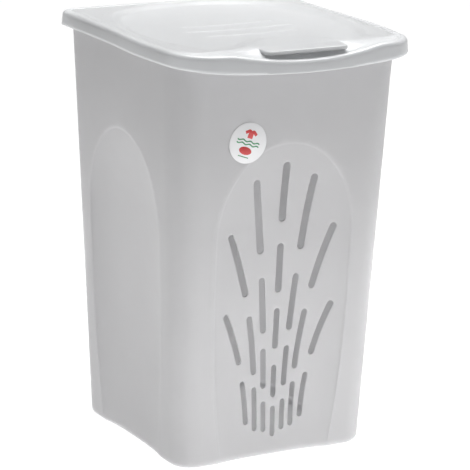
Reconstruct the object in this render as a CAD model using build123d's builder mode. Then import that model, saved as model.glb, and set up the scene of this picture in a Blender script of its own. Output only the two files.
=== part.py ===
"""Square plastic laundry hamper with a hinged lid.

Frame: millimetres, +Z up, front towards -Y. The origin is the centre of the base, on the floor.
"""
import math
import os

from build123d import *

os.makedirs("parts", exist_ok=True)

# ---- driving dimensions ---------------------------------------------------------------------
WALL = 2.4                    # moulded wall of the bin
LID_WALL = 2.4                # moulded wall of the lid

BIN_HEIGHT = 559.0            # top of the bin's rim, inside the hollow rim of the lid
BASE_HALF = 142.0             # half width of the bin at the floor
TOP_HALF = 167.6              # half width of the bin at its rim
BASE_RADIUS = 32.0            # upright corner radius at the floor
TOP_RADIUS = 42.0             # upright corner radius at the rim
FLOOR = 3.0                   # thickness of the bin's floor
BASE_FILLET = 8.0             # rounding of the bottom edge

ARCH_TOP = 430.0              # crown of the sunken arch on each side
ARCH_SPRING = 305.0           # height where the arch starts to close
ARCH_HALF = 99.0              # half width of the arch over most of its height
ARCH_FOOT = 79.0              # half width of the arch at the floor
SINK_FOOT = 6.0               # depth of the arch below the wall at the floor
SINK_DEEP = 10.5              # at its deepest
SINK_TOP = 3.5                # and at its crown
DEEP_HEIGHT = 190.0           # height where it is deepest
ARCH_BEND = 130.0             # height up to which its sides spread out from the foot
ARCH_EASE = 4.0               # how much narrower than its full half width it is there
ARCH_SPREAD = (0.12, 1.0)     # heading of its sides at the foot

LID_EDGE = 544.0              # lower edge of the lid's skirt
LID_TOP = 562.0               # crest of the lid's rim
LID_TAPER = 2.5               # how far the skirt leans in over its height
LID_DIP = 8.0                 # how far the skirt hangs lower at the middle of the front
LID_FRONT = 215.0             # front of the skirt from the centre
LID_REAR = 176.0              # rear of the skirt from the centre
# right half of the lid's outline at its lower edge, from the front round to the rear
FRONT_MIDDLE = (66.0, -LID_FRONT + 2.4)
FRONT_END = (121.0, -LID_FRONT + 7.8)
BULGE_START = (172.4, -150.0)
BULGE_WIDEST = (177.5, -82.0)
BULGE_END = (175.0, -10.0)
WAIST = (173.4, 62.0)
EAR_START = (174.5, 146.0)
EAR_MIDDLE = (167.5, 168.0)
EAR_END = (146.5, LID_REAR)
# right half of the sunken panel's outline
PANEL_FRONT = (118.0, -160.0)
PANEL_SIDE = (155.0, 0.0)
PANEL_CORNER = (120.0, 118.0)
PANEL_BACK = (66.0, 149.0)
PANEL_REAR = 157.0            # rear edge of the panel from the centre
PANEL_SINK = 5.0              # depth of the panel below the rim
SAG_HALF = 162.0              # half width of the arc in which the skirt hangs lower
SIDES_FRONT = -90.0           # the skirt's edge is straight behind this

GRIP_HALF = 60.0              # half width of the finger grip
GRIP_FRONT = -204.0           # front of its tongue
GRIP_ROOT = 10.0              # how far the tongue runs back into the pad
GRIP_RISE = 1.0               # how far the grip and its pad stand above the rim
GRIP_LIP = 5.0                # height of the downturned lip round the tongue
GRIP_CORNER = 9.0             # its corner radius in plan
SCOOP_FLOOR = 551.0           # lowest line of the finger scoop
SCOOP_BACK = -176.0           # rear wall of the finger scoop
SCOOP_HALF = 107.0            # half width of the scoop at the rim
PAD_LONG = 96.0               # half width of the raised pad behind the grip
PAD_DEEP = 88.0               # how far the pad reaches back
PAD_CENTRE = -184.0

HINGE_X = 104.0               # distance of each hinge from the middle
HINGE_Y = 181.0
HINGE_Z = 540.0
BARREL_R = 5.0
PIN_R = 2.5
PIN_PLAY = 0.06               # running clearance on the radius in the lid's knuckle
KNUCKLE = 18.0                # width of the lid's knuckle
LUG = 4.0                     # width of each of the bin's lugs
LUG_GAP = 0.5
LUG_NOSE = 12.0               # length of the stop behind the pin
LUG_STOP = 2.6                # height of the stop above the pin's centre
LUG_FOOT = 500.0              # height where the lug's gusset leaves the wall
ARM_TOP = 558.0               # top of the arms that carry the lid's knuckles
ARM_BEVEL = 5.0               # bevel on their upper rear corner
PIN_HEAD_R = 4.0
PIN_HEAD = 1.8
PIN_BEVEL = 0.6               # on the tail of each pin
CUT_HALF = 132.0              # half width of the raised edge of the skirt at the rear
CUT_TOP = 549.0

LABEL_R = 27.0                # round paper label on the front wall
LABEL_X = -62.0
LABEL_Z = 438.0
LABEL_THICK = 0.25

SUNK = 1.0                    # how far added pieces run into the wall they join
BEYOND = 40.0                 # how far cutting blocks run past the faces they cut

LEAN = (TOP_HALF - BASE_HALF) / BIN_HEIGHT
LID_LOW = LID_EDGE - LID_DIP
GRIP_TOP = LID_TOP + GRIP_RISE
LEAN_LID = LID_TAPER / (LID_TOP - LID_LOW)


def wall_half(height):
    """Half width of the bin's outer form at a height."""
    return BASE_HALF + LEAN * height


# ---- the slots: one centre stream and three pairs that fan out and up -------------------------
# Each slot is (foot height, head height) on its stream; a stream is (offset at the foot of the
# pattern, growth with height, power of the flare).
STREAMS = [
    (0.0, 0.0, 1.0, [(30, 65), (85, 122), (153, 201), (232, 290), (330, 401)]),
    (13.5, 29.0, 2.0, [(38, 73), (99, 147), (177, 246), (289, 381)]),
    (27.0, 83.0, 2.6, [(41, 95), (121, 195), (232, 311)]),
    (39.5, 176.0, 2.4, [(52, 106), (138, 203)]),
]
SLOT_NARROW = 6.4             # width of the lowest slots
SLOT_WIDEN = 4.6              # extra width at 400 mm height
FLARE_HEIGHT = 380.0


def slot_width(height):
    return SLOT_NARROW + SLOT_WIDEN * height / 400


def stream_x(start, growth, power, height):
    return start + growth * (height / FLARE_HEIGHT) ** power


def arch_cutter(grow, inward):
    """Block of the sunken arch on the front: the arch's outline, closed inwards by a hollow arc."""
    foot = -(BASE_HALF - SINK_FOOT) + inward
    deep = -(wall_half(DEEP_HEIGHT) - SINK_DEEP) + inward
    crown = -(wall_half(ARCH_TOP) - SINK_TOP) + inward
    outside = -TOP_HALF - BEYOND
    with BuildPart() as cutter:
        with BuildSketch(Plane.XZ.offset(BASE_HALF - BEYOND)):
            with BuildLine():
                side = Spline(
                    (ARCH_FOOT + grow, 0),
                    (ARCH_HALF + grow - ARCH_EASE, ARCH_BEND),
                    (ARCH_HALF + grow, ARCH_SPRING),
                    tangents=[ARCH_SPREAD, (0, 1)],
                )
                crest = EllipticalCenterArc(
                    (0, ARCH_SPRING), ARCH_HALF + grow, ARCH_TOP - ARCH_SPRING + grow, arc_size=90
                )
                Line(crest @ 1, (0, -BEYOND))
                Line((0, -BEYOND), (ARCH_FOOT + grow, -BEYOND))
                Line((ARCH_FOOT + grow, -BEYOND), side @ 0)
            make_face()
            mirror(about=Plane.YZ)
        extrude(amount=TOP_HALF - BASE_HALF + 2 * BEYOND)
        with BuildSketch(Plane.YZ):
            with BuildLine():
                hollow_arc = ThreePointArc((foot, 0), (deep, DEEP_HEIGHT), (crown, ARCH_TOP))
                Polyline(
                    hollow_arc @ 1, (crown, ARCH_TOP + BEYOND), (outside, ARCH_TOP + BEYOND),
                    (outside, -BEYOND), (foot, -BEYOND), hollow_arc @ 0,
                )
            make_face()
        extrude(amount=ARCH_HALF + BEYOND, both=True, mode=Mode.INTERSECT)
    return cutter.part


def bin_form(inset, low, high):
    """Tapered rounded-square form of the bin between two heights."""
    with BuildPart() as form:
        for height in (low, high):
            share = height / BIN_HEIGHT
            half = wall_half(height) - inset
            radius = BASE_RADIUS + (TOP_RADIUS - BASE_RADIUS) * share - inset
            with BuildSketch(Plane.XY.offset(height)):
                RectangleRounded(2 * half, 2 * half, radius)
        loft()
    return form.part


def lug(x):
    """One of the bin's hinge lugs: a gusset from the rear wall with a bored barrel and a stop."""
    root = wall_half(LUG_FOOT) - SUNK
    with BuildPart() as piece:
        with BuildSketch(Plane.YZ.offset(x)):
            with BuildLine():
                Polyline(
                    (root, LUG_FOOT),
                    (HINGE_Y + BARREL_R / 2, HINGE_Z - BARREL_R * math.sin(math.radians(60))),
                    (HINGE_Y, HINGE_Z + BARREL_R),
                    (root, HINGE_Z + BARREL_R),
                    (root, LUG_FOOT),
                )
            make_face()
            with Locations((HINGE_Y, HINGE_Z)):
                Circle(BARREL_R)
            with Locations((HINGE_Y + LUG_NOSE / 2, HINGE_Z + (LUG_STOP - BARREL_R) / 2)):
                Rectangle(LUG_NOSE, LUG_STOP + BARREL_R)
            with Locations((HINGE_Y, HINGE_Z)):
                Circle(PIN_R, mode=Mode.SUBTRACT)
        extrude(amount=LUG)
    return piece.part


# ---- bin --------------------------------------------------------------------------------------
with BuildPart() as cavity:
    add(bin_form(WALL, FLOOR, BIN_HEIGHT))
    for turn in range(4):
        add(arch_cutter(WALL, WALL).rotate(Axis.Z, 90 * turn), mode=Mode.SUBTRACT)

with BuildPart() as slots:
    with BuildSketch(Plane.XZ.offset(BASE_HALF - BEYOND)):
        for start, growth, power, spans in STREAMS:
            for foot, head in spans:
                middle = (foot + head) / 2
                for side in ((1, -1) if start else (1,)):
                    points = [
                        (side * stream_x(start, growth, power, height), height)
                        for height in (foot, middle, head)
                    ]
                    if start:
                        SlotArc(Edge.make_three_point_arc(*points), slot_width(middle))
                    else:
                        SlotArc(Edge.make_line(points[0], points[-1]), slot_width(middle))
    extrude(amount=2 * BEYOND)

with BuildPart() as bin_shell:
    add(bin_form(0, 0, BIN_HEIGHT))
    fillet(bin_shell.edges().group_by(Axis.Z)[0], radius=BASE_FILLET)
    for turn in range(4):
        add(arch_cutter(0, 0).rotate(Axis.Z, 90 * turn), mode=Mode.SUBTRACT)
    add(cavity.part, mode=Mode.SUBTRACT)
    for hinge in (-HINGE_X, HINGE_X):
        for start in (-KNUCKLE / 2 - LUG_GAP - LUG, KNUCKLE / 2 + LUG_GAP):
            add(lug(hinge + start))
    add(slots.part, mode=Mode.SUBTRACT)
    add(slots.part.rotate(Axis.Z, 180), mode=Mode.SUBTRACT)
bin_shell.part.label = "bin"
export_step(bin_shell.part, "parts/bin.step")


# ---- lid --------------------------------------------------------------------------------------
def lid_form(low, high):
    """Solid of the lid's outline between two heights, leaning in on its way up.

    The outline has a bowed front, waisted sides and rounded corners, all in arcs.
    """
    with BuildPart() as form:
        with BuildSketch(Plane.XY.offset(low)):
            with BuildLine():
                front = ThreePointArc((0, -LID_FRONT), FRONT_MIDDLE, FRONT_END)
                corner = TangentArc(front @ 1, BULGE_START, tangent=front % 1)
                bulge = ThreePointArc(corner @ 1, BULGE_WIDEST, BULGE_END)
                waist = ThreePointArc(bulge @ 1, WAIST, EAR_START)
                ear = ThreePointArc(waist @ 1, EAR_MIDDLE, EAR_END)
                Line(ear @ 1, (0, LID_REAR))
                mirror(about=Plane.YZ)
            make_face()
        extrude(amount=high - low, taper=math.degrees(math.atan(LEAN_LID)))
    return form.part


def panel_cut(grow, floor_height):
    """Prism over the sunken panel: convex arcs that run close to the rim."""
    front_x, front_y = PANEL_FRONT
    side_x, side_y = PANEL_SIDE
    corner_x, corner_y = PANEL_CORNER
    back_x, back_y = PANEL_BACK
    with BuildPart() as form:
        with BuildSketch(Plane.XY.offset(floor_height)):
            with BuildLine():
                front = Line((0, front_y - grow), (front_x, front_y - grow))
                side = ThreePointArc(
                    front @ 1, (side_x + grow, side_y), (corner_x + grow, corner_y + grow)
                )
                ThreePointArc(side @ 1, (back_x, back_y + grow), (0, PANEL_REAR + grow))
                mirror(about=Plane.YZ)
            make_face()
        extrude(amount=BEYOND)
    return form.part


def scoop(grow):
    """Prism of the finger scoop in the front of the lid: its floor hangs in an arc."""
    with BuildPart() as form:
        with BuildSketch(Plane.XZ.offset(-SCOOP_BACK - grow)):
            with BuildLine():
                floor = ThreePointArc(
                    (-SCOOP_HALF - grow, LID_TOP), (0, SCOOP_FLOOR - grow), (SCOOP_HALF + grow, LID_TOP)
                )
                Polyline(
                    floor @ 1,
                    (SCOOP_HALF + grow, LID_TOP + BEYOND),
                    (-SCOOP_HALF - grow, LID_TOP + BEYOND),
                    floor @ 0,
                )
            make_face()
        extrude(amount=2 * BEYOND)
    return form.part


def pad(low, high, inset):
    """The half ellipse of the raised pad behind the finger scoop."""
    with BuildPart() as form:
        with BuildSketch(Plane.XY.offset(low)):
            with Locations((0, PAD_CENTRE)):
                Ellipse(PAD_LONG - inset, PAD_DEEP - inset)
            with Locations((0, SCOOP_BACK - PAD_DEEP)):
                Rectangle(2 * PAD_LONG, 2 * PAD_DEEP, mode=Mode.SUBTRACT)
        extrude(amount=high - low)
    return form.part


def tongue_outline(inset):
    """Outline of the grip's tongue, drawn in the sketch in hand."""
    back = SCOOP_BACK + GRIP_ROOT
    with Locations((0, (GRIP_FRONT + back) / 2)):
        RectangleRounded(
            2 * (GRIP_HALF - inset), back - GRIP_FRONT - 2 * inset, GRIP_CORNER - inset,
            mode=Mode.SUBTRACT if inset else Mode.ADD,
        )


UNDER_RIM = LID_TOP - LID_WALL
UNDER_PANEL = LID_TOP - PANEL_SINK - LID_WALL

with BuildPart() as hollow:
    # started lower, so that its lean brings it one wall inside the skirt
    add(lid_form(LID_LOW - LID_WALL / LEAN_LID, UNDER_RIM))
    add(panel_cut(LID_WALL, UNDER_PANEL), mode=Mode.SUBTRACT)
    add(pad(LID_LOW, GRIP_TOP - LID_WALL, LID_WALL))
    add(scoop(LID_WALL), mode=Mode.SUBTRACT)

with BuildPart() as skirt_trim:
    # everything below the skirt's lower edge, which hangs in an arc across the front
    bottom = LID_LOW - BEYOND
    with BuildSketch(Plane.XZ.offset(-SIDES_FRONT)):
        with BuildLine():
            sag = ThreePointArc((-SAG_HALF, LID_EDGE), (0, LID_LOW), (SAG_HALF, LID_EDGE))
            edge = SAG_HALF + BEYOND
            Polyline(
                sag @ 1, (edge, LID_EDGE), (edge, bottom), (-edge, bottom), (-edge, LID_EDGE), sag @ 0
            )
        make_face()
    extrude(amount=LID_FRONT)
    with BuildSketch(Plane.XY.offset(LID_EDGE)):
        with Locations((0, (SIDES_FRONT + LID_REAR + BEYOND) / 2)):
            Rectangle(2 * edge, LID_REAR + BEYOND - SIDES_FRONT)
    extrude(amount=-BEYOND)
    with BuildSketch(Plane.XY.offset(CUT_TOP)):
        with Locations((0, LID_REAR)):
            Rectangle(2 * CUT_HALF, 2 * (LID_TAPER + LID_WALL + SUNK))
    extrude(amount=-BEYOND)

with BuildPart() as lid:
    add(lid_form(LID_LOW, LID_TOP))
    add(panel_cut(0, LID_TOP - PANEL_SINK), mode=Mode.SUBTRACT)
    add(scoop(0), mode=Mode.SUBTRACT)
    add(pad(UNDER_PANEL, GRIP_TOP, 0))
    add(hollow.part, mode=Mode.SUBTRACT)
    add(skirt_trim.part, mode=Mode.SUBTRACT)
    # tongue of the grip, which runs forward over the scoop and is turned down at its edge
    with BuildSketch(Plane.XY.offset(GRIP_TOP - LID_WALL)):
        tongue_outline(0)
    extrude(amount=LID_WALL)
    with BuildSketch(Plane.XY.offset(GRIP_TOP - GRIP_LIP)):
        tongue_outline(0)
        tongue_outline(LID_WALL)
        with Locations((0, SCOOP_BACK + PAD_DEEP)):
            Rectangle(2 * PAD_LONG, 2 * PAD_DEEP, mode=Mode.SUBTRACT)
    extrude(amount=GRIP_LIP)
    arm_root = LID_REAR - LID_TAPER - SUNK
    for hinge in (-HINGE_X, HINGE_X):
        # knuckle and the arm that hangs it from the rear rim
        with BuildSketch(Plane.YZ.offset(hinge - KNUCKLE / 2)):
            with Locations((HINGE_Y, HINGE_Z)):
                Circle(BARREL_R)
            with BuildLine():
                Polyline(
                    (arm_root, CUT_TOP + SUNK),
                    (HINGE_Y - BARREL_R, CUT_TOP + SUNK),
                    (HINGE_Y - BARREL_R, HINGE_Z),
                    (HINGE_Y + BARREL_R, HINGE_Z),
                    (HINGE_Y + BARREL_R, ARM_TOP - ARM_BEVEL),
                    (HINGE_Y + BARREL_R - ARM_BEVEL, ARM_TOP),
                    (arm_root, ARM_TOP),
                    (arm_root, CUT_TOP + SUNK),
                )
            make_face()
            with Locations((HINGE_Y, HINGE_Z)):
                Circle(PIN_R + PIN_PLAY, mode=Mode.SUBTRACT)
        extrude(amount=KNUCKLE)
lid.part.label = "lid"
export_step(lid.part, "parts/lid.step")


# ---- hinge pins -------------------------------------------------------------------------------
PIN_REACH = KNUCKLE / 2 + LUG_GAP + LUG
for name, outward in (("hinge_pin_left", -1), ("hinge_pin_right", 1)):
    with BuildPart() as pin:
        with BuildSketch(Plane.YZ.offset(outward * HINGE_X - PIN_REACH)):
            with Locations((HINGE_Y, HINGE_Z)):
                Circle(PIN_R)
        extrude(amount=2 * PIN_REACH)
        with BuildSketch(Plane.YZ.offset(outward * (HINGE_X + PIN_REACH))):
            with Locations((HINGE_Y, HINGE_Z)):
                Circle(PIN_HEAD_R)
        extrude(amount=outward * PIN_HEAD)
        tail = pin.edges().filter_by(GeomType.CIRCLE).sort_by(Axis.X)[0 if outward > 0 else -1]
        chamfer(tail, PIN_BEVEL)
    pin.part.label = name
    export_step(pin.part, "parts/" + name + ".step")


# ---- label ------------------------------------------------------------------------------------
label_lean = math.degrees(math.atan(LEAN))
with BuildPart() as label:
    with BuildSketch(
        Plane(
            origin=(LABEL_X, -wall_half(LABEL_Z), LABEL_Z),
            x_dir=(1, 0, 0),
            z_dir=(0, -math.cos(math.radians(label_lean)), -math.sin(math.radians(label_lean))),
        )
    ):
        Circle(LABEL_R)
    extrude(amount=LABEL_THICK)
label.part.label = "label"
export_step(label.part, "parts/label.step")
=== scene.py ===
import math

import bmesh
import bpy
import numpy as np
from mathutils import Matrix, Vector
from mathutils.geometry import delaunay_2d_cdt
from mathutils.kdtree import KDTree


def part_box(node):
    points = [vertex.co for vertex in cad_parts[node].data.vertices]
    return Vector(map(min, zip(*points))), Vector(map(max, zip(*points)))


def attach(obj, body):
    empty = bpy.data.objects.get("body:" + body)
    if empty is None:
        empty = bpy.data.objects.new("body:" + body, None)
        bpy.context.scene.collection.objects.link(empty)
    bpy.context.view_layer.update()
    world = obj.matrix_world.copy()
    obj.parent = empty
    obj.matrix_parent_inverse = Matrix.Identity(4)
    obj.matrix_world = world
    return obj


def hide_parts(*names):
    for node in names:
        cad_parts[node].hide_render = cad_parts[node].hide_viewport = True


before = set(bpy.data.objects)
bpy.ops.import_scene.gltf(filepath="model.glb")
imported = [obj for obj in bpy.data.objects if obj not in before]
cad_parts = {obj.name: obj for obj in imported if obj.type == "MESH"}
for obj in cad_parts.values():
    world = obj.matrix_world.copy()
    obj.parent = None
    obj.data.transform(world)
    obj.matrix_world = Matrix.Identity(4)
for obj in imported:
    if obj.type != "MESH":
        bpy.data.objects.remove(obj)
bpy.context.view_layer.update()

# Shapes are worked out in millimetres, and MM brings them to the frame's metres.
MM = 0.001


def millimetres(corner):
    return corner / MM


_, BIN_HIGH = (millimetres(c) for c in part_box("bin"))
LID_LOW, LID_HIGH = (millimetres(c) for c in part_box("lid"))
PIN_LOW, PIN_HIGH = (millimetres(c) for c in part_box("hinge_pin_right"))
LABEL_LOW, LABEL_HIGH = (millimetres(c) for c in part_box("label"))

# ---- bin ----------------------------------------------------------------------------------------
WALL = 2.4                     # moulded wall of the bin and of the lid
BASE_HALF = 142.0              # half width at the floor
LEAN = (BIN_HIGH.x - BASE_HALF) / BIN_HIGH.z
BASE_RADIUS = 32.0             # upright corners at the floor
TOP_RADIUS = 42.0              # and at the rim
BASE_ROUND = 8.0               # bottom edge, outside
FLOOR = 3.0
FLOOR_ROUND = 5.0              # bottom edge, inside
FOOT_STEP = 1.2                # hollow under the floor, inside its foot ring
FOOT_RING = 7.0                # width of that ring
FOOT_SLOPE = 2.0               # width of its inner edge

ARCH_TOP = 430.0               # crown of the sunken arch
ARCH_SPRING = 305.0            # where its sides start to close
ARCH_HALF = 99.0
ARCH_FOOT = 79.0               # half width at the floor
ARCH_FLARE = 2.6               # exponent of the curve of its sides
# depth of the sunken arch at heights above the floor
DISH = [(0, 5.2), (60, 9.2), (120, 11.2), (200, 10.9), (300, 9.9), (350, 8.9), (400, 6.3), (430, 4.6)]
DISH_SHAPE = 3.5               # how flat the dish is across its middle
LEDGE_SHARE = 0.15             # part of the depth that is a ledge at the arch's outline
LEDGE = 2.6                    # width of that ledge

PANEL_HALF = 108.0             # half width of the flat region that holds an arch
PANEL_TOP = 446.0
CELL = 6.0                     # size of the mesh on plain surfaces

# Each stream of slots: offset at the foot, growth with height, power of its flare, and the foot and
# head heights of its slots.
STREAMS = [
    (0.0, 0.0, 1.0, [(30, 65), (85, 122), (153, 201), (232, 290), (330, 401)]),
    (13.5, 29.0, 2.0, [(38, 73), (99, 147), (177, 246), (289, 381)]),
    (27.0, 83.0, 2.6, [(41, 95), (121, 195), (232, 311)]),
    (39.5, 176.0, 2.4, [(52, 106), (138, 203)]),
]
FLARE_HEIGHT = 380.0
SLOT_NARROW = 6.4
SLOT_WIDEN = 4.6 / 400         # extra width for each millimetre of height
# rounding of a slot's edges: how much wider it is at each depth in the wall
SLOT_LIP = [(1.1, 0.0), (0.5, 0.12), (0.13, 0.5), (0.0, 1.1), (0.0, 1.8), (0.25, 2.25), (0.6, WALL)]


def smooth(t):
    """An eased step, 0 up to t = 0 and 1 from t = 1 on."""
    t = min(max(t, 0.0), 1.0)
    return t * t * (3 - 2 * t)


def bump(t):
    """A smooth hump, 1 at t = 0 and 0 from t = 1 on either side."""
    return (1 - t * t) ** 2 if abs(t) < 1 else 0.0


def steps(low, high, size):
    """Even steps from low to high, both included, of about the given size."""
    count = max(1, round((high - low) / size))
    return [low + (high - low) * i / count for i in range(count + 1)]


def through(knots, at):
    """Smooth curve through (place, value) knots."""
    places = [k[0] for k in knots]
    values = [k[1] for k in knots]
    if at <= places[0] or at >= places[-1]:
        return values[0] if at <= places[0] else values[-1]
    i = max(j for j, place in enumerate(places) if place <= at)

    def slope(j):
        a, b = max(j - 1, 0), min(j + 1, len(knots) - 1)
        return (values[b] - values[a]) / (places[b] - places[a])

    span = places[i + 1] - places[i]
    t = (at - places[i]) / span
    return (
        values[i] * (2 * t**3 - 3 * t**2 + 1)
        + values[i + 1] * (3 * t**2 - 2 * t**3)
        + slope(i) * span * (t**3 - 2 * t**2 + t)
        + slope(i + 1) * span * (t**3 - t**2)
    )


# ---- mesh tools ---------------------------------------------------------------------------------
MERGE = 0.02                   # points closer than this are one
SHARP = math.radians(40)       # folds sharper than this stay sharp
CLEAR = 0.55                   # share of a cell that dots keep from a line
TOLERANCE = 1e-5


class Shell:
    """Points and faces of one closed mesh, in millimetres."""

    def __init__(self):
        self.points = []
        self.faces = []

    def add(self, points):
        """Adds points and gives their numbers."""
        first = len(self.points)
        self.points.extend(tuple(p) for p in points)
        return list(range(first, len(self.points)))

    def bridge(self, rows, closed=True, capped=False):
        """Quads between rows of points that have the same length. Capped rows close at both ends."""
        rows = [self.add(row) for row in rows]
        for low, high in zip(rows, rows[1:]):
            last = len(low) if closed else len(low) - 1
            for i in range(last):
                j = (i + 1) % len(low)
                self.faces.append((low[i], low[j], high[j], high[i]))
        if capped:
            self.faces += [tuple(rows[0]), tuple(rows[-1])]
        return rows

    def fan(self, ring, centre):
        """Closes a ring of point numbers to one point."""
        (middle,) = self.add([centre])
        for a, b in zip(ring, ring[1:] + ring[:1]):
            self.faces.append((a, b, middle))

    def sheet(self, flat, faces, place):
        """Triangles of a flat region, with each of its points put in place."""
        first = self.add(place(p[0], p[1]) for p in flat)[0]
        self.faces.extend(tuple(first + i for i in face) for face in faces)

    def make(self, name, finish):
        """The mesh as an object, merged where its parts meet."""
        mesh = bpy.data.meshes.new(name)
        mesh.from_pydata([Vector(p) * MM for p in self.points], [], self.faces)
        work = bmesh.new()
        work.from_mesh(mesh)
        bmesh.ops.remove_doubles(work, verts=work.verts, dist=MERGE * MM)
        bmesh.ops.recalc_face_normals(work, faces=work.faces)
        work.to_mesh(mesh)
        work.free()
        mesh.shade_smooth()
        mesh.set_sharp_from_angle(angle=SHARP)
        mesh.materials.append(finish)
        made = bpy.data.objects.new(name, mesh)
        bpy.context.scene.collection.objects.link(made)
        return made

    def piece(self, name, body, slot, finish):
        """The mesh as an object that rides on a body."""
        made = self.make(name, finish)
        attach(made, body)
        return made


def weld(body, extra):
    """Joins an overlapping piece into a body, so that the two are one closed mesh."""
    union = body.modifiers.new("union", "BOOLEAN")
    union.operation = "UNION"
    union.solver = "EXACT"
    union.object = extra
    bpy.context.view_layer.update()
    whole = body.evaluated_get(bpy.context.evaluated_depsgraph_get())
    joined = bpy.data.meshes.new_from_object(whole)
    body.modifiers.remove(union)
    body.data = joined
    bpy.data.objects.remove(extra)
    joined.shade_smooth()
    joined.set_sharp_from_angle(angle=SHARP)


def inside(places, loop):
    """Which of the places, an array of x and y, lie inside a closed loop."""
    x, y = places.T
    hit = np.zeros(len(places), bool)
    for (ax, ay), (bx, by) in zip(loop, loop[1:] + loop[:1]):
        if ay != by:
            hit ^= ((ay > y) != (by > y)) & (x < (bx - ax) * (y - ay) / (by - ay) + ax)
    return hit


def triangulate(rim, holes, guides, dots):
    """Triangles inside the loop rim: holes left out, edges along the guides, and dots in between.

    A guide is a line and whether it is closed. Dots close to a line are dropped.
    """
    points, edges = [], []
    for line, closed in [(rim, True), *((hole, True) for hole in holes), *guides]:
        first = len(points)
        points.extend(Vector(p) for p in line)
        edges.extend((first + i, first + i + 1) for i in range(len(line) - 1))
        if closed:
            edges.append((first + len(line) - 1, first))
    near = KDTree(len(points))
    for i, p in enumerate(points):
        near.insert((p[0], p[1], 0), i)
    near.balance()
    points.extend(Vector(d) for d in dots if near.find((d[0], d[1], 0))[2] > CELL * CLEAR)
    flat, _, faces, *_ = delaunay_2d_cdt(points, edges, [], 0, TOLERANCE)
    middles = np.array([[sum(flat[i][k] for i in face) / 3 for k in (0, 1)] for face in faces])
    keep = inside(middles, rim)
    for hole in holes:
        keep &= ~inside(middles, hole)
    return flat, [face for face, kept in zip(faces, keep) if kept]


# ---- materials ----------------------------------------------------------------------------------
CLOUD_SCALE = 5.0              # features in a metre of the faint flow clouds
WEAR_SCALE = 38.0              # of the patches of rougher and smoother surface
GRAIN_SCALE = 1100.0           # and of the eroded grain
GRAIN_HEIGHT = 0.0003
NOISE_LOW, NOISE_HIGH = 0.3, 0.7    # the range that noise mostly takes
REFRACTION = 1.49


def plastic(name, colour, rough, spread, grain, glow, depth, tone=0.03):
    """Injection-moulded polypropylene: a fine eroded grain, faint flow clouds and light inside.

    The roughness varies by spread and the colour by tone, glow is the share of light that enters,
    and depth is how far it travels in metres.
    """
    made = bpy.data.materials.new(name)
    made.use_nodes = True
    nodes, links = made.node_tree.nodes, made.node_tree.links
    shader = nodes["Principled BSDF"]
    place = nodes.new("ShaderNodeTexCoord")

    def noise(scale, detail):
        n = nodes.new("ShaderNodeTexNoise")
        n.inputs["Scale"].default_value = scale
        n.inputs["Detail"].default_value = detail
        links.new(place.outputs["Object"], n.inputs["Vector"])
        return n.outputs["Fac"]

    shade = nodes.new("ShaderNodeValToRGB")
    for element, share in zip(shade.color_ramp.elements, (1 - tone, 1 + tone)):
        element.color = (*(min(1.0, c * share) for c in colour), 1)
    shade.color_ramp.elements[0].position = NOISE_LOW
    shade.color_ramp.elements[1].position = NOISE_HIGH
    links.new(noise(CLOUD_SCALE, 3.0), shade.inputs["Fac"])
    links.new(shade.outputs["Color"], shader.inputs["Base Color"])

    worn = nodes.new("ShaderNodeMapRange")
    worn.inputs["From Min"].default_value = NOISE_LOW
    worn.inputs["From Max"].default_value = NOISE_HIGH
    worn.inputs["To Min"].default_value = rough - spread
    worn.inputs["To Max"].default_value = rough + spread
    links.new(noise(WEAR_SCALE, 4.0), worn.inputs["Value"])
    links.new(worn.outputs["Result"], shader.inputs["Roughness"])

    skin = nodes.new("ShaderNodeBump")
    skin.inputs["Strength"].default_value = grain
    skin.inputs["Distance"].default_value = GRAIN_HEIGHT
    links.new(noise(GRAIN_SCALE, 2.0), skin.inputs["Height"])
    links.new(skin.outputs["Normal"], shader.inputs["Normal"])

    shader.inputs["IOR"].default_value = REFRACTION
    shader.inputs["Subsurface Weight"].default_value = glow
    shader.inputs["Subsurface Radius"].default_value = (1.0, 1.0, 1.0)
    shader.inputs["Subsurface Scale"].default_value = depth
    return made


BODY_FINISH = plastic("bin_plastic", (0.62, 0.615, 0.63), 0.52, 0.05, 0.25, 1.0, 0.011)
LID_FINISH = plastic("lid_plastic", (0.62, 0.63, 0.64), 0.32, 0.02, 0.04, 0.9, 0.009, 0.015)
PAPER = plastic("label_paper", (0.85, 0.85, 0.86), 0.35, 0.03, 0.1, 0.0, 0.0, 0.01)
RED_INK = plastic("red_ink", (0.60, 0.05, 0.05), 0.40, 0.03, 0.1, 0.0, 0.0, 0.05)
GREEN_INK = plastic("green_ink", (0.06, 0.28, 0.12), 0.40, 0.03, 0.1, 0.0, 0.0, 0.05)


# ---- bin shell ----------------------------------------------------------------------------------
def wall_half(z):
    """Half width of the bin's outer form at a height."""
    return BASE_HALF + LEAN * z


def arch_half(z):
    """Half width of the arch below its crown."""
    return ARCH_HALF - (ARCH_HALF - ARCH_FOOT) * max(0.0, 1 - z / ARCH_SPRING) ** ARCH_FLARE


def arch_ratio(x, z):
    """0 on the arch's axis, 1 on its outline."""
    if z <= ARCH_SPRING:
        return abs(x) / arch_half(z)
    return math.hypot(x / ARCH_HALF, (z - ARCH_SPRING) / (ARCH_TOP - ARCH_SPRING))


def arch_depth(x, z):
    """How far the sunken arch lies below the flat wall."""
    ratio = arch_ratio(x, z)
    deep = through(DISH, z)
    if ratio < 1:
        return deep * (1 - (1 - LEDGE_SHARE) * ratio**DISH_SHAPE)
    return deep * LEDGE_SHARE * (1 - smooth((ratio - 1) * ARCH_HALF / LEDGE))


def turned(turn, x, y, z):
    """A point brought from the front to another side in quarter turns."""
    for _ in range(turn % 4):
        x, y = -y, x
    return x, y, z


def flat_point(turn, x, z, setback):
    """Point on the wall of one side."""
    return turned(turn, x, -(wall_half(z) - setback - arch_depth(x, z)), z)


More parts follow.
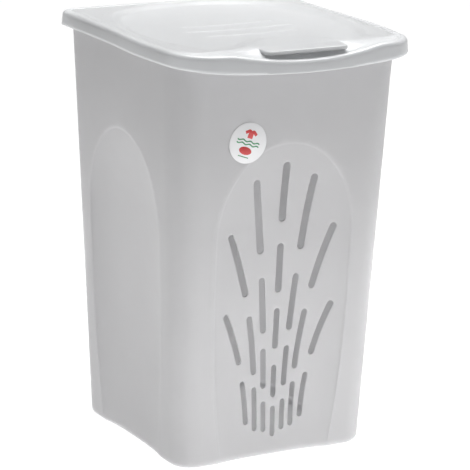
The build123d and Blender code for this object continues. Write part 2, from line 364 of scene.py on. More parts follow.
def corner_points(turn, z, setback):
    """Points from the right edge of one side's flat region round the corner to the next side's."""
    radius = BASE_RADIUS + (TOP_RADIUS - BASE_RADIUS) * z / BIN_HIGH.z
    centre = wall_half(z) - radius
    middle = (PANEL_HALF + centre) / 2
    points = [flat_point(turn, x, z, setback) for x in (PANEL_HALF, middle)]
    for angle in steps(0, 90, 7.5):
        x = centre + (radius - setback) * math.sin(math.radians(angle))
        y = -centre - (radius - setback) * math.cos(math.radians(angle))
        points.append(turned(turn, x, y, z))
    return points + [flat_point(turn + 1, x, z, setback) for x in (-middle, -PANEL_HALF)]


COLUMNS = steps(-PANEL_HALF, PANEL_HALF, CELL)


def perimeter(z, setback):
    """Closed loop round the bin's wall at a height."""
    points = []
    for turn in range(4):
        points.extend(flat_point(turn, x, z, setback) for x in COLUMNS[:-1])
        points.extend(corner_points(turn, z, setback)[:-1])
    return points


def skin_profile(v, inner):
    """Height and setback of a wall's skin. v is the height, and below the edge's rounding its arc."""
    radius, base, inset = (FLOOR_ROUND, FLOOR, WALL) if inner else (BASE_ROUND, 0.0, 0.0)
    turn = (base + radius - v) / radius
    if turn <= 0:
        return v, inset
    return base + radius * (1 - math.sin(turn)), inset + radius * (1 - math.cos(turn))


def slot_outline(stream, foot, head, side, grow):
    """Loop round one slot, whose ends are centred on its foot and head heights."""
    start, growth, power, _ = stream
    half = (SLOT_NARROW + SLOT_WIDEN * (foot + head) / 2) / 2 + grow

    def centre(z):
        return side * (start + growth * (z / FLARE_HEIGHT) ** power)

    left, right = [], []
    for z in steps(foot, head, CELL):
        along = math.atan2(centre(z + 1) - centre(z - 1), 2)
        shift = Vector((math.cos(along), -math.sin(along))) * half
        middle = Vector((centre(z), z))
        left.append(middle - shift)
        right.append(middle + shift)
    caps = []
    for z, ends in ((head, 1), (foot, -1)):
        along = math.atan2(centre(z + 1) - centre(z - 1), 2)
        cap = []
        for angle in steps(0, 180, 22.5)[1:-1]:
            turn = math.radians(angle)
            reach = Vector((-math.cos(turn) * ends, math.sin(turn) * ends)) * half
            cap.append(Vector((centre(z), z)) + Matrix.Rotation(-along, 2) @ reach)
        caps.append(cap)
    return [tuple(p) for p in left + caps[0] + right[::-1] + caps[1]]


# stream, foot and head of each slot, and its side of the middle
SLOTS = [
    (stream, foot, head, side)
    for stream in STREAMS
    for foot, head in stream[3]
    for side in ((1, -1) if stream[0] else (1,))
]


ARCH_LOW = 12.0                # where the guides along the arch start


def arch_guide(offset):
    """Line that follows the arch's outline at a small offset."""
    sides = [(arch_half(z) + offset, z) for z in steps(ARCH_LOW, ARCH_SPRING, CELL)]
    reach_x, reach_z = ARCH_HALF + offset, ARCH_TOP - ARCH_SPRING + offset
    crest = [
        (reach_x * math.cos(math.radians(a)), ARCH_SPRING + reach_z * math.sin(math.radians(a)))
        for a in steps(0, 90, 3)[1:]
    ]
    right = sides + crest
    return right + [(-x, z) for x, z in right[-2::-1]]


ARCH_GUIDES = [(arch_guide(offset), False) for offset in (-5.0, -2.4, -0.8, 0.0, 0.9, 1.8, LEDGE)]


def panel_sheet(inner, slotted):
    """Flat layout of the region that holds an arch, in x and v of skin_profile."""
    rows = skin_rows(inner)
    rim = [(x, rows[0]) for x in COLUMNS]
    rim += [(PANEL_HALF, v) for v in rows[1:-1]]
    rim += [(x, rows[-1]) for x in COLUMNS[::-1]]
    rim += [(-PANEL_HALF, v) for v in rows[-2:0:-1]]
    grow = SLOT_LIP[-1 if inner else 0][0]
    holes = [slot_outline(*slot, grow) for slot in SLOTS] if slotted else []
    dots = [(x, v) for x in COLUMNS[1:-1] for v in rows[1:-1]]
    if holes:
        taken = np.zeros(len(dots), bool)
        for hole in holes:
            taken |= inside(np.array(dots), hole)
        dots = [dot for dot, hit in zip(dots, taken) if not hit]
    return triangulate(rim, holes, ARCH_GUIDES, dots)


EDGE_STEP = 2.2                # size of the mesh over the bottom edge's rounding


def skin_rows(inner):
    """Steps of v of skin_profile, from the start of the bottom edge's rounding up."""
    radius, base = (FLOOR_ROUND, FLOOR) if inner else (BASE_ROUND, 0.0)
    start = base + radius - radius * math.pi / 2
    return steps(start, BASE_ROUND, EDGE_STEP) + steps(BASE_ROUND, PANEL_TOP, CELL)[1:]


FLOOR_RINGS = (0.9, 0.55, 0.2)      # where the floor's mesh has rings, as shares of its width


def build_bin():
    """The bin's wall as two skins, with the slots cut through, its rim and its floor."""
    shell = Shell()
    for inner in (False, True):
        plain = panel_sheet(inner, False)
        slotted = panel_sheet(inner, True)
        rows = skin_rows(inner)
        for turn in range(4):
            def place(x, v):
                z, setback = skin_profile(v, inner)
                return flat_point(turn, x, z, setback)

            shell.sheet(*(plain if turn % 2 else slotted), place)
            shell.bridge([corner_points(turn, *skin_profile(v, inner)) for v in rows], closed=False)
    for turn in (0, 2):
        for slot in SLOTS:
            shell.bridge([
                [flat_point(turn, x, z, depth) for x, z in slot_outline(*slot, grow)]
                for grow, depth in SLOT_LIP
            ])
    # upper walls and the rounded rim between them
    half_wall = WALL / 2
    rise = [(z, 0.0) for z in steps(PANEL_TOP, BIN_HIGH.z - half_wall, 2 * CELL)]
    rim = []
    for angle in steps(0, 180, 22.5)[1:-1]:
        turn = math.radians(angle)
        rim.append((BIN_HIGH.z - half_wall * (1 - math.sin(turn)), half_wall * (1 - math.cos(turn))))
    shell.bridge([perimeter(*row) for row in rise + rim + [(z, WALL) for z, _ in rise[::-1]]])
    # underside with its foot ring, and the floor inside
    ring = BASE_ROUND + FOOT_RING
    foot = [(0.0, BASE_ROUND), (0.0, ring), (FOOT_STEP, ring + FOOT_SLOPE)]
    for profile, level in ((foot, FOOT_STEP), ([(FLOOR, WALL + FLOOR_ROUND)], FLOOR)):
        rings = [perimeter(*row) for row in profile]
        edge = rings[-1]
        rings += [[(x * share, y * share, level) for x, y, _ in edge] for share in FLOOR_RINGS]
        numbers = shell.bridge(rings)
        shell.fan(numbers[-1], (0, 0, level))
    return shell


# ---- lid ----------------------------------------------------------------------------------------
GRIP_RISE = 1.0                # how far the grip stands above the rim
LID_TOP = LID_HIGH.z - GRIP_RISE
SAG = 8.0                      # how far the skirt hangs lower at the middle of the front
SAG_HALF = 162.0               # half width of that sag
SAG_REAR = -90.0               # the skirt's edge is level behind this
LID_EDGE = LID_LOW.z + SAG     # lower edge of the skirt, away from the sag
LID_TAPER = 2.5                # how far the skirt leans in over its height
LID_FRONT = 215.0
LID_REAR = 176.0
CREST_ROUND = 6.0              # rounding between the skirt and the top
CUT_HALF = 132.0               # half width of the skirt's raised edge at the hinges
CUT_TOP = 549.0
CUT_EASE = 4.0                 # width of the slope at its ends
CUT_DEPTH = 12.0               # how far forward it reaches
EDGE_BREAK = 0.2               # how much the skirt's wall narrows at its lower edge, on each face

# right half of the outline at the skirt's lower edge, from the front round to the rear
FRONT_MIDDLE = (66, -LID_FRONT + 2.4)
FRONT_END = (121, -LID_FRONT + 7.8)
BULGE_START = (172.4, -150.0)
BULGE_WIDEST = (177.5, -82)
BULGE_END = (175, -10)
WAIST = (173.4, 62)
EAR_START = (174.5, 146)
EAR_MIDDLE = (167.5, 168)
EAR_END = (146.5, LID_REAR)

GROOVE_IN = 14.5               # from the outline to the groove along the rim
GROOVE_HALF = 2.4
GROOVE_DEEP = 0.9
PLATEAU_DROP = 0.5             # how far the top lies lower inside the groove
PLATEAU_EASE = 4.0             # width of that step
PANEL_SINK = 5.0
PANEL_WALL = 15.0              # width of the slope down to the sunken panel
PANEL_CENTRE = (0.0, -20.0)
PANEL_REACH = 300              # from that centre past any point of the panel
PANEL_FRONT = 160.0
PANEL_BLEND = 14.0             # softness of the panel's corners
PANEL_START = (118, -160)      # the panel's right side, from the front to the rear corner
PANEL_SIDE = (155, 0)
PANEL_CORNER = (120, 118)
PANEL_REAR = (0, 157)
RIBS = [(-62.0, 66.0), (-28.0, 78.0), (6.0, 66.0)]      # place and half length of each rib
RIB_BOW = 1 / 900.0            # curvature of the ribs
RIB_HALF = 3.0                 # half width of a rib
RIB_RISE = 0.6

SCOOP_FLOOR = 551.0            # lowest line of the finger scoop
SCOOP_BACK = -176.0
SCOOP_STEEP = 1.4              # width of the scoop's steep rear wall in plan
SCOOP_EASE = 22.0              # width of the easy slope on either side of the tongue
SCOOP_SIDE = 12.0              # over which that slope opens, up to the tongue's end
SCOOP_HALF = 107.0
SCOOP_SPARE = 12.0             # how far the scoop's arc is followed past its ends
SCOOP_BLEND = 0.25             # softness of the scoop's ends, as a squared height
PAD_LONG = 96.0                # half width of the raised pad behind the grip
PAD_DEEP = 88.0                # how far the pad reaches back from its centre
PAD_CENTRE = -184.0
PAD_SOFT = 0.30                # share of the pad that slopes down to the panel
PAD_BELOW = 0.02               # how far the pad lies below the tongue's top
TONGUE_HALF = 60.0
TONGUE_FRONT = -204.0
TONGUE_ROOT = 6                # how far it runs back into the pad
TONGUE_LIP = 5.0               # height of its downturned edge
TONGUE_ROUND = 1.8
TONGUE_CORNER = 9.0
TONGUE_WALL = 2.4


def circle_through(a, b, c):
    """Centre and radius of the circle through three points."""
    (ax, ay), (bx, by), (cx, cy) = a, b, c
    d = 2 * (ax * (by - cy) + bx * (cy - ay) + cx * (ay - by))
    x = ((ax**2 + ay**2) * (by - cy) + (bx**2 + by**2) * (cy - ay) + (cx**2 + cy**2) * (ay - by)) / d
    y = ((ax**2 + ay**2) * (cx - bx) + (bx**2 + by**2) * (ax - cx) + (cx**2 + cy**2) * (bx - ax)) / d
    return x, y, math.hypot(ax - x, ay - y)


def arc(a, b, c, step):
    """Points on the arc from a through b to c."""
    x, y, radius = circle_through(a, b, c)
    start, via, end = (math.atan2(p[1] - y, p[0] - x) for p in (a, b, c))
    sweep = (end - start) % math.tau
    if (via - start) % math.tau > sweep:
        sweep -= math.tau
    count = max(2, round(abs(sweep) * radius / step))
    turns = [start + sweep * i / count for i in range(count + 1)]
    return [(x + radius * math.cos(turn), y + radius * math.sin(turn)) for turn in turns]


def tangent_middle(p, heading, q):
    """A middle point of the arc that leaves p along a heading and ends at q."""
    chord = Vector(q) - Vector(p)
    bend = math.atan2(chord.y, chord.x) - heading
    sagitta = chord.length / 2 * math.tan(bend / 2)
    middle = (Vector(p) + Vector(q)) / 2
    across = Vector((chord.y, -chord.x)).normalized()
    return tuple(middle + across * sagitta)


def lid_outline(step):
    """Closed loop of the skirt's lower edge in plan, anticlockwise from the middle of the front."""
    front = arc((0, -LID_FRONT), FRONT_MIDDLE, FRONT_END, step)
    heading = math.atan2(front[-1][1] - front[-2][1], front[-1][0] - front[-2][0])
    turn = tangent_middle(front[-1], heading, BULGE_START)
    corner = arc(front[-1], turn, BULGE_START, step)
    bulge = arc(BULGE_START, BULGE_WIDEST, BULGE_END, step)
    waist = arc(bulge[-1], WAIST, EAR_START, step)
    ear = arc(waist[-1], EAR_MIDDLE, EAR_END, step)
    rear = [(x, LID_REAR) for x in steps(0, ear[-1][0], step)[::-1]]
    right = front + corner[1:] + bulge[1:] + waist[1:] + ear[1:] + rear[1:]
    return right + [(-x, y) for x, y in right[-2:0:-1]]


def normals(loop):
    """Outward directions along a loop, averaged over four of its edges."""
    out = []
    for i in range(len(loop)):
        (ax, ay), (bx, by) = loop[i - 2], loop[(i + 2) % len(loop)]
        out.append(Vector((by - ay, ax - bx)).normalized())
    return out


OUTLINE = lid_outline(5.0)
OUTWARD = normals(OUTLINE)
FINE_OUTLINE = lid_outline(1.0)
NEAR_OUTLINE = KDTree(len(FINE_OUTLINE))
for number, spot in enumerate(FINE_OUTLINE):
    NEAR_OUTLINE.insert((*spot, 0), number)
NEAR_OUTLINE.balance()


def inset_loop(inset):
    """The lid's outline, moved in."""
    return [tuple(Vector(p) - n * inset) for p, n in zip(OUTLINE, OUTWARD)]


def skirt_edge(x, y):
    """Height of the skirt's lower edge."""
    if y > LID_REAR - CUT_DEPTH:
        return LID_EDGE + (CUT_TOP - LID_EDGE) * smooth((CUT_HALF - abs(x)) / CUT_EASE + 0.5)
    if y < SAG_REAR:
        return LID_EDGE - (LID_EDGE - LID_LOW.z) * max(0.0, 1 - (x / SAG_HALF) ** 2)
    return LID_EDGE


SCOOP_DEEP = LID_TOP - SCOOP_FLOOR
SCOOP_RADIUS = (SCOOP_HALF**2 + SCOOP_DEEP**2) / (2 * SCOOP_DEEP)


def scoop_height(x):
    """Height of the scoop's hanging floor, eased into the rim at its ends."""
    sag = SCOOP_RADIUS - math.sqrt(SCOOP_RADIUS**2 - min(abs(x), SCOOP_HALF + SCOOP_SPARE) ** 2)
    over = SCOOP_FLOOR + sag - LID_TOP
    return LID_TOP + over / 2 - math.sqrt(over * over / 4 + SCOOP_BLEND)


SIDE_CIRCLE = circle_through(PANEL_START, PANEL_SIDE, PANEL_CORNER)
REAR_CIRCLE = circle_through((-PANEL_CORNER[0], PANEL_CORNER[1]), PANEL_REAR, PANEL_CORNER)


def soft_min(a, b):
    """The lower of two values, rounded off where they are close."""
    share = max(PANEL_BLEND - abs(a - b), 0.0) / PANEL_BLEND
    return min(a, b) - share * share * PANEL_BLEND / 4


def panel_inside(x, y):
    """How far a place lies inside the outline of the sunken panel."""
    cx, cy, radius = SIDE_CIRCLE
    d = soft_min(radius - math.hypot(x - cx, y - cy), radius - math.hypot(x + cx, y - cy))
    cx, cy, radius = REAR_CIRCLE
    d = soft_min(d, radius - math.hypot(x - cx, y - cy))
    return soft_min(d, y + PANEL_FRONT)


def pad_ratio(x, y):
    """1 on the outline of the raised pad, and less inside it."""
    return math.hypot(x / PAD_LONG, (y - PAD_CENTRE) / PAD_DEEP)


def lid_height(x, y, shift):
    """Height of the lid's top.

    For the underside, shift moves the scoop's steep wall back, and the groove is left out.
    """
    inset = NEAR_OUTLINE.find((x, y, 0))[2]
    drop = 0.0 if shift else PLATEAU_DROP
    z = LID_TOP - drop * smooth((inset - GROOVE_IN) / PLATEAU_EASE + 0.5)
    if not shift:
        z -= GROOVE_DEEP * bump((inset - GROOVE_IN) / GROOVE_HALF)
    z -= (PANEL_SINK - drop) * smooth(panel_inside(x, y) / PANEL_WALL)
    for middle, half in RIBS:
        across = y - middle - x * x * RIB_BOW
        ends = smooth((half + RIB_HALF - abs(x)) / RIB_HALF)
        z += RIB_RISE * bump(across / RIB_HALF) * ends
    pad = smooth((1 - pad_ratio(x, y)) / PAD_SOFT)
    z += (LID_HIGH.z - PAD_BELOW - z) * pad
    width = SCOOP_STEEP + SCOOP_EASE * smooth((abs(x) - TONGUE_HALF + SCOOP_SIDE) / SCOOP_SIDE)
    fall = smooth((SCOOP_BACK + shift - y) / width)
    return z + (min(z, scoop_height(x)) - z) * fall


def contour(measure, level, centre, reach, step=4):
    """Closed line where a measure that falls outwards from the centre passes a level."""
    line = []
    for angle in steps(0, 360, step)[:-1]:
        way = Vector((math.cos(math.radians(angle)), math.sin(math.radians(angle))))
        low, high = 0.0, reach
        for _ in range(24):
            half = (low + high) / 2
            spot = Vector(centre) + way * half
            low, high = (half, high) if measure(*spot) > level else (low, half)
        line.append(tuple(Vector(centre) + way * low))
    return line


SCOOP_PAST = 4.0               # how far guides run past the scoop's ends
RIB_STEP = 4                   # size of the mesh along the ribs
MARGIN = 8                     # how far the top's mesh stays from the front and the rear


def lid_sheet(shift):
    """Flat layout of the lid's top, with guides along its forms."""
    rim = inset_loop(LID_TAPER + CREST_ROUND)
    guides = [(inset_loop(GROOVE_IN + step), True) for step in (-2.4, -1.2, 0.0, 1.2, 2.4)]
    for share in (0.02, 0.25, 0.5, 0.75, 0.98):
        guides.append((contour(panel_inside, share * PANEL_WALL, PANEL_CENTRE, PANEL_REACH), True))
    for share in (0, 0.25, 0.5, 0.75, 1):
        y = SCOOP_BACK + shift - SCOOP_STEEP * share
        reach = SCOOP_HALF + SCOOP_PAST
        guides.append(([(x, y) for x in steps(-reach, reach, CELL)], False))
    for middle, half in RIBS:
        reach = half + RIB_HALF
        for across in (-1, -0.66, -0.33, 0, 0.33, 0.66, 1):
            y = middle + across * RIB_HALF
            guides.append(([(x, y + x * x * RIB_BOW) for x in steps(-reach, reach, RIB_STEP)], False))
    ys = steps(-LID_FRONT + MARGIN, LID_REAR - MARGIN, CELL)
    xs = steps(LID_LOW.x, LID_HIGH.x, CELL)
    dots = [(x, y) for x in xs for y in ys]
    kept = inside(np.array(dots), rim)
    return triangulate(rim, [], guides, [dot for dot, hit in zip(dots, kept) if hit])


def skirt_rings(inner):
    """Rings of the skirt and the rounded crest, from the lower edge up.

    A share up to 1 is a height on the skirt, and from 1 to 2 a place on the crest's rounding.
    """
    wall, radius = (WALL, CREST_ROUND - WALL) if inner else (0.0, CREST_ROUND)
    lean = LID_TAPER / (LID_TOP - LID_LOW.z)
    rings = []
    for share in (0.0, 0.02, 0.3, 0.6, 0.85, *steps(1, 2, 0.2)):
        ring = []
        for (x, y), out in zip(OUTLINE, OUTWARD):
            low = skirt_edge(x, y)
            top = (scoop_height(x) if y < SCOOP_BACK else LID_TOP) - wall
            spring = top - radius
            if share <= 1:
                z = low + (spring - low) * share
                inset = wall + lean * (z - LID_LOW.z)
                if share == 0:
                    inset += -EDGE_BREAK if inner else EDGE_BREAK
            else:
                turn = math.radians(90 * (share - 1))
                z = spring + radius * math.sin(turn)
                inset = wall + lean * (spring - LID_LOW.z) + radius * (1 - math.cos(turn))
                goal = LID_TAPER + CREST_ROUND
                inset += (goal - (wall + lean * (spring - LID_LOW.z) + radius)) * (share - 1)
            p = Vector((x, y)) - out * inset
            ring.append((p.x, p.y, z))
        rings.append(ring)
    return rings


def build_lid():
    """The lid's top and underside, joined by its skirt."""
    shell = Shell()
    for shift in (0.0, WALL):
        flat, faces = lid_sheet(shift)
        shell.sheet(flat, faces, lambda x, y: (x, y, lid_height(x, y, shift) - shift))
    outer, under = skirt_rings(False), skirt_rings(True)
    for rings, shift in ((outer, 0.0), (under, WALL)):
        rings[-1] = [(x, y, lid_height(x, y, shift) - shift) for x, y, _ in rings[-1]]
    shell.bridge(outer[::-1] + under)
    return shell


def build_tongue():
    """The grip's tongue: a slab with rounded, downturned edges that reaches over the scoop."""
    corner, half = TONGUE_CORNER, TONGUE_HALF
    back, front = SCOOP_BACK + TONGUE_ROOT, TONGUE_FRONT + corner
    outline = []
    for cx, angles in ((-half + corner, (180, 270)), (half - corner, (270, 360))):
        for angle in steps(*angles, 10):
            turn = math.radians(angle)
            outline.append((cx + corner * math.cos(turn), front + corner * math.sin(turn)))
    outline += [(half, y) for y in steps(front, back, 5)[1:]]
    outline += [(x, back) for x in steps(-half, half, CELL)[::-1][1:]]
    outline += [(-half, y) for y in steps(front, back, 5)[::-1][1:-1]]
    out = normals(outline)
    top, low = LID_HIGH.z, LID_HIGH.z - TONGUE_LIP
    edge = TONGUE_WALL / 2
    # inset and height of the section, from the top round the lip to the underside
    profile = []
    for angle in steps(0, 90, 15)[::-1]:
        turn = math.radians(angle)
        profile.append((
            TONGUE_ROUND * (1 - math.cos(turn)), top - TONGUE_ROUND + TONGUE_ROUND * math.sin(turn)
        ))
    for angle in steps(0, 180, 22.5):
        turn = math.radians(angle)
        profile.append((edge - edge * math.cos(turn), low + edge - edge * math.sin(turn)))
    profile.append((TONGUE_WALL, top - TONGUE_WALL))
    shell = Shell()
    shell.bridge([
        [(x - n.x * inset, y - n.y * inset, z) for (x, y), n in zip(outline, out)]
        for inset, z in profile
    ], capped=True)
    return shell


# ---- hinges -------------------------------------------------------------------------------------
HINGE_Y = (PIN_LOW.y + PIN_HIGH.y) / 2
HINGE_Z = (PIN_LOW.z + PIN_HIGH.z) / 2
HINGE_X = 104.0
ARM_TOP = 558.0
ARM_BEVEL = 0.8
BARREL = 5.0                   # radius of the knuckles and of the lugs' barrels
KNUCKLE = 18.0                 # width of the lid's knuckle
LUG = 4.0                      # width of each of the bin's lugs
LUG_GAP = 0.5
LUG_NOSE = 12.0                # length of the stop behind the pin
LUG_STOP = 2.6                 # height of the stop above the pin's centre
LUG_FOOT = 500.0               # where the lug's gusset leaves the wall
LUG_LOW = 4.8                  # from the pin's centre down to the underside of the lug
LUG_BEVEL = 0.6
SUNK = 1.0                     # how far added pieces run into the wall they join
PIN_R = 2.5
PIN_HEAD_R = 4.0
PIN_HEAD = 1.8
PIN_BEVEL = 0.6                # on the tail of each pin
PIN_REACH = KNUCKLE / 2 + LUG_GAP + LUG
# inset and height of the rounded upper corner of the lid's arm, from its end
ARM_CORNER = [(0.0, 5.0), (0.6, 2.4), (2.2, 0.7), (4.6, 0.0)]
# distance along the pin past its shank, and radius: the rounded head
PIN_TOP = [
    (0.0, PIN_HEAD_R - 0.4), (0.4, PIN_HEAD_R), (PIN_HEAD - 0.9, PIN_HEAD_R - 0.2),
    (PIN_HEAD - 0.2, PIN_HEAD_R - 1.2), (PIN_HEAD, PIN_HEAD_R - 2.6),
]


def normals_tight(loop):
    """Outward directions at a loop's points, longer at its corners so that edges stay parallel."""
    out = []
    for i, (x, y) in enumerate(loop):
        (ax, ay), (bx, by) = loop[i - 1], loop[(i + 1) % len(loop)]
        before = Vector((y - ay, ax - x)).normalized()
        after = Vector((by - y, x - bx)).normalized()
        mean = (before + after).normalized()
        out.append(mean / max(0.5, mean.dot(before)))
    return out


def prism(outline, low, high, bevel):
    """Extrusion of a profile in y and z between two x, with its edges rounded off."""
    out = normals_tight(outline)
    rings = []
    for x, side in ((low, -1), (high, 1)):
        end = []
        for angle in steps(0, 90, 30):
            turn = math.radians(angle)
            inset = bevel * (1 - math.sin(turn))
            at = x - side * bevel * (1 - math.cos(turn))
            end.append([(at, p[0] - n.x * inset, p[1] - n.y * inset) for p, n in zip(outline, out)])
        rings += end if side < 0 else end[::-1]
    shell = Shell()
    shell.bridge(rings, capped=True)
    return shell


def round_bit(radius, start, end):
    """Arc in y and z about the hinge's axis, between two angles in degrees."""
    return [
        (HINGE_Y + radius * math.cos(math.radians(a)), HINGE_Z + radius * math.sin(math.radians(a)))
        for a in steps(start, end, 15)
    ]


def build_hinges():
    """The lid's arms, and the lugs and pins of the bin, on either side."""
    rear = LID_REAR - LID_TAPER - 2 * SUNK
    arm = round_bit(BARREL, 180, 360)
    arm += [(HINGE_Y + BARREL - inset, ARM_TOP - drop) for inset, drop in ARM_CORNER]
    arm += [(rear, ARM_TOP), (rear, CUT_TOP + SUNK), (HINGE_Y - BARREL, CUT_TOP + SUNK)]
    wall = wall_half(LUG_FOOT) - SUNK
    nose = HINGE_Y + LUG_NOSE
    lug = [(wall, LUG_FOOT), (HINGE_Y + 2, HINGE_Z - LUG_LOW), (nose, HINGE_Z - LUG_LOW)]
    lug += [(nose, HINGE_Z + LUG_STOP)]
    lug += round_bit(BARREL, math.degrees(math.asin(LUG_STOP / BARREL)), 90)
    lug += [(wall, HINGE_Z + BARREL)]
    profile = [(-PIN_REACH, PIN_BEVEL), (-PIN_REACH, PIN_R - PIN_BEVEL), (-PIN_REACH + PIN_BEVEL, PIN_R)]
    profile += [(PIN_REACH, PIN_R)] + [(PIN_REACH + along, radius) for along, radius in PIN_TOP]
    for name, side in (("left", -1), ("right", 1)):
        middle = side * HINGE_X
        prism(arm, middle - KNUCKLE / 2, middle + KNUCKLE / 2, ARM_BEVEL).piece(
            "hinge_arm_" + name, "lid", "lid_plastic", LID_FINISH)
        for place, start in (("a", -KNUCKLE / 2 - LUG_GAP - LUG), ("b", KNUCKLE / 2 + LUG_GAP)):
            prism(lug, middle + start, middle + start + LUG, LUG_BEVEL).piece(
                "hinge_lug_" + name + "_" + place, "bin", "bin_plastic", BODY_FINISH)
        shell = Shell()
        shell.bridge([
            [(middle + side * along, y, z) for y, z in round_bit(radius, 0, 360)[:-1]]
            for along, radius in profile
        ], capped=True)
        pin = shell.piece("hinge_pin_" + name + "_turned", "bin", "lid_plastic", LID_FINISH)
        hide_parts("hinge_pin_" + name)


# ---- label --------------------------------------------------------------------------------------
LABEL_THICK = 0.25
LABEL_TURN = -20.0             # how the label was stuck on, in degrees
LABEL_EASE = 0.15              # rounding of its edge
LABEL_SUNK = 0.02              # how far it is pressed into the wall
INK = 0.05                     # how far the print stands proud of the paper
INK_SUNK = 0.1                 # how far it starts below the paper's face
INK_EASE = 0.03
SHIRT_SIZE = 0.95
SHIRT_RISE = 11                # of the shirt over the label's centre
WAVE_STEP = 0.8

# outline of a shirt about its own centre
SHIRT = [
    (-4, -5), (4, -5), (4, 2), (7.5, -0.5), (10, 3), (4.5, 7), (2, 7), (0, 5.6), (-2, 7), (-4.5, 7),
    (-10, 3), (-7.5, -0.5), (-4, 2),
]


def label_point(u, v, out):
    """Point over the front wall, from the label's own axes."""
    lean = math.atan(LEAN)
    turn = math.radians(LABEL_TURN)
    across = u * math.cos(turn) - v * math.sin(turn)
    up = u * math.sin(turn) + v * math.cos(turn)
    x = (LABEL_LOW.x + LABEL_HIGH.x) / 2
    z = (LABEL_LOW.z + LABEL_HIGH.z) / 2
    return (
        x + across,
        -wall_half(z) - out * math.cos(lean) - up * math.sin(lean),
        z + up * math.cos(lean) - out * math.sin(lean),
    )


def stick_on(outline, low, high, ease):
    """Thin closed shape on the label, with an eased upper edge."""
    shell = Shell()
    out = normals_tight(outline)
    rings = [
        [label_point(p[0] - n.x * inset, p[1] - n.y * inset, level) for p, n in zip(outline, out)]
        for inset, level in ((0, low), (0, high - ease), (ease * 0.3, high - ease * 0.3), (ease, high))
    ]
    shell.bridge(rings, capped=True)
    return shell


def oval(cu, cv, ru, rv, count=40):
    """Loop of an ellipse about (cu, cv)."""
    return [
        (cu + ru * math.cos(math.tau * i / count), cv + rv * math.sin(math.tau * i / count))
        for i in range(count)
    ]


def wave(cu, cv, length, height, swing, turns):
    """A wavy bar."""
    line = steps(-length / 2, length / 2, WAVE_STEP)
    low = [(cu + u, cv - height / 2 + swing * math.sin(u / length * math.tau * turns)) for u in line]
    high = [(u, v + height) for u, v in low[::-1]]
    return low + high


def build_label():
    """The round paper and the generic marks printed on it."""
    radius = (LABEL_HIGH.x - LABEL_LOW.x) / 2
    disc = oval(0, 0, radius, radius, 96)
    paper = stick_on(disc, -LABEL_SUNK, LABEL_THICK, LABEL_EASE).piece(
        "label_paper_disc", "bin", "label_paper", PAPER)
    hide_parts("label")
    shirt = [(u * SHIRT_SIZE, SHIRT_RISE + v * SHIRT_SIZE) for u, v in SHIRT]
    prints = [
        ("print_shirt", shirt, RED_INK),
        ("print_wave_upper", wave(0, 2.2, 34, 1.8, 0.9, 3), GREEN_INK),
        ("print_wave_lower", wave(0, -1.8, 34, 1.8, 0.9, 3), GREEN_INK),
        ("print_oval", oval(0, -10.5, 9.5, 5.2), RED_INK),
        ("print_bar", wave(0, -18.6, 16, 1.2, 0.0, 1), GREEN_INK),
    ]
    for name, outline, ink in prints:
        stick_on(outline, LABEL_THICK - INK_SUNK, LABEL_THICK + INK, INK_EASE).piece(
            name, "bin", "label_paper", ink)


# ---- stage --------------------------------------------------------------------------------------
AZIMUTH = math.radians(-29.2)
ELEVATION = math.radians(15.2)
ROLL = math.radians(1.3)
DISTANCE = 3.569
AIM_HEIGHT = 0.270
AIM_SIDE = 0.0112
LENS = 202.6
FAR = 50                       # end of the camera's range, past the floor
FLOOR_HALF = 8
FLOOR_GREY = 0.15
FLOOR_GLOW = 0.95              # the pale floor gives off light of its own
ROOM_GLOW = 0.09
# name, place, aim, size and watts of each light
LIGHTS = [
    ("top_box", (0.5, 0.55, 2.4), (0.5, 0.55, 0), (1.9, 1.3), 78),
    ("front_strip", (0.0, -0.6, 0.06), (0.0, 0, 0.10), (1.3, 0.10), 1.9),
    ("left_strip", (-0.65, 0, 0.06), (0, 0, 0.10), (1.0, 0.10), 0.45),
    ("key_box", (-0.7, -2.5, 1.9), (0, 0, 0.25), (1.6, 1.0), 2.5),
    ("right_strip", (0.65, 0, 0.06), (0, 0, 0.10), (1.0, 0.10), 1.0),
    ("rear_strip", (0, 0.7, 0.06), (0, 0, 0.10), (1.0, 0.10), 0.8),
]


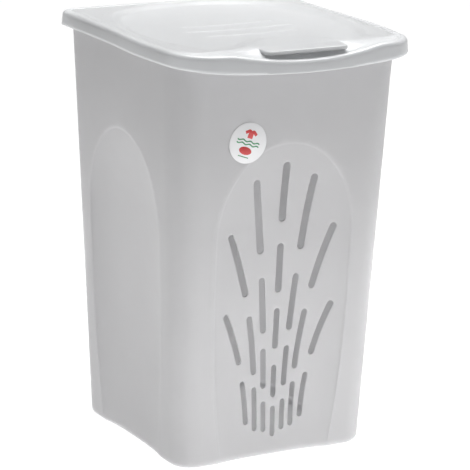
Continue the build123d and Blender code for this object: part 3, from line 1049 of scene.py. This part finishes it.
def make_camera():
    """A long lens that looks down on the front left corner."""
    right = Vector((math.cos(AZIMUTH), math.sin(AZIMUTH), 0))
    back = Vector((
        math.sin(AZIMUTH) * math.cos(ELEVATION),
        -math.cos(AZIMUTH) * math.cos(ELEVATION),
        math.sin(ELEVATION),
    ))
    up = back.cross(right)
    place = Vector((0, 0, AIM_HEIGHT)) + back * DISTANCE + right * AIM_SIDE
    across = right * math.cos(ROLL) + up * math.sin(ROLL)
    above = up * math.cos(ROLL) - right * math.sin(ROLL)
    data = bpy.data.cameras.new("camera")
    data.lens = LENS
    data.clip_end = FAR
    camera = bpy.data.objects.new("camera", data)
    bpy.context.scene.collection.objects.link(camera)
    turn = Matrix((across, above, back)).transposed().to_4x4()
    camera.matrix_world = Matrix.Translation(place) @ turn
    bpy.context.scene.camera = camera


def soft_box(name, place, aim, size, watts):
    """A rectangular light at a place in metres, turned to its aim and unseen itself."""
    data = bpy.data.lights.new(name, "AREA")
    data.shape = "RECTANGLE"
    data.size, data.size_y = size
    data.energy = watts
    lamp = bpy.data.objects.new(name, data)
    bpy.context.scene.collection.objects.link(lamp)
    lamp.location = place
    lamp.visible_camera = False
    lamp.rotation_euler = (Vector(place) - Vector(aim)).to_track_quat("Z", "Y").to_euler()


def make_stage():
    """The pale floor, the room's faint light and the soft boxes."""
    mesh = bpy.data.meshes.new("floor")
    corners = [(-1, -1), (1, -1), (1, 1), (-1, 1)]
    mesh.from_pydata([(x * FLOOR_HALF, y * FLOOR_HALF, 0) for x, y in corners], [], [(0, 1, 2, 3)])
    floor = bpy.data.objects.new("floor", mesh)
    bpy.context.scene.collection.objects.link(floor)
    paper = bpy.data.materials.new("floor_paper")
    paper.use_nodes = True
    shader = paper.node_tree.nodes["Principled BSDF"]
    shader.inputs["Base Color"].default_value = (FLOOR_GREY, FLOOR_GREY, FLOOR_GREY, 1)
    shader.inputs["Roughness"].default_value = 0.9
    shader.inputs["Emission Color"].default_value = (1, 1, 1, 1)
    shader.inputs["Emission Strength"].default_value = FLOOR_GLOW
    mesh.materials.append(paper)
    world = bpy.data.worlds.new("world")
    bpy.context.scene.world = world
    world.use_nodes = True
    world.node_tree.nodes["Background"].inputs["Color"].default_value = (1, 1, 1, 1)
    world.node_tree.nodes["Background"].inputs["Strength"].default_value = ROOM_GLOW
    for light in LIGHTS:
        soft_box(*light)
    bpy.context.scene.view_settings.view_transform = "Standard"


build_bin_piece = build_bin().piece("bin_shell", "bin", "bin_plastic", BODY_FINISH)
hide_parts("bin")
lid_piece = build_lid().piece("lid_shell", "lid", "lid_plastic", LID_FINISH)
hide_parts("lid")
weld(lid_piece, build_tongue().make("grip_tongue", LID_FINISH))
build_hinges()
build_label()
make_stage()
make_camera()
